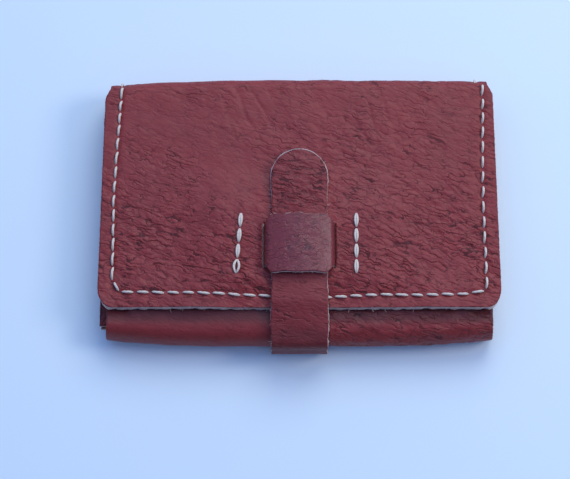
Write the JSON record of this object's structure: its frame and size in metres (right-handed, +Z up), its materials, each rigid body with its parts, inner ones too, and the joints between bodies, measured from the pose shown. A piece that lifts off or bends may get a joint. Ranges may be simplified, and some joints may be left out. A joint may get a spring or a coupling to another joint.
{
  "type": "leather business card case",
  "caption": "Handmade leather business card case with a stitched fold-over flap, closed by a strap tucked under a keeper band.",
  "frame": {"origin": "on the surface that the case lies on, under the middle of its box", "axes": "+X to the right across the flap, +Y towards the top fold, +Z up from the back to the flap"},
  "size_m": [0.1038, 0.0725, 0.0166],
  "materials": {
    "hide_leather": "full-grain, satin, creased",
    "strap_leather": "full-grain, satin",
    "keeper_leather": "full-grain, semi-gloss",
    "gusset_leather": "matt",
    "waxed_thread": "waxed linen, cream"
  },
  "bodies": {
    "case_body": {"front_pocket": "hide_leather", "bottom_roll": "hide_leather", "back_panel": "hide_leather", "left_gusset": "gusset_leather", "right_gusset": "gusset_leather", "left_front_seam_thread": "waxed_thread", "right_front_seam_thread": "waxed_thread", "left_back_seam_thread": "waxed_thread", "right_back_seam_thread": "waxed_thread", "strap_back": "strap_leather", "strap_anchor_thread": "waxed_thread"},
    "spine": {"spine": "hide_leather", "left_spine_thread": "waxed_thread", "right_spine_thread": "waxed_thread"},
    "flap": {"flap_panel": "hide_leather", "flap_border_thread": "waxed_thread", "keeper_strip": "keeper_leather", "left_keeper_tack": "waxed_thread", "right_keeper_tack": "waxed_thread"},
    "strap_bight": {"strap_bight": "strap_leather"},
    "strap_front": {"strap_front": "strap_leather"}
  },
  "joints": [
    {"name": "spine_fold", "type": "hinge", "parent": "case_body", "child": "spine", "pos_m": [0, 0.03531, 0.00094], "axis": [-1, 0, 0], "range_deg": [0, 85]},
    {"name": "flap_fold", "type": "hinge", "parent": "spine", "child": "flap", "pos_m": [0, 0.03531, 0.01126], "axis": [-1, 0, 0], "range_deg": [0, 85]},
    {"name": "strap_back_bend", "type": "hinge", "parent": "case_body", "child": "strap_bight", "pos_m": [0, -0.03555, 0.0017], "axis": [1, 0, 0], "range_deg": [0, 84]},
    {"name": "strap_front_bend", "type": "hinge", "parent": "strap_bight", "child": "strap_front", "pos_m": [0, -0.0358, 0.01092], "axis": [1, 0, 0], "range_deg": [0, 84], "deforming": ["strap_front"]}
  ],
  "couplings": [
    {"joint": "spine_fold", "follows": "flap_fold", "ratio": 1},
    {"joint": "strap_back_bend", "follows": "strap_front_bend", "ratio": 1}
  ]
}
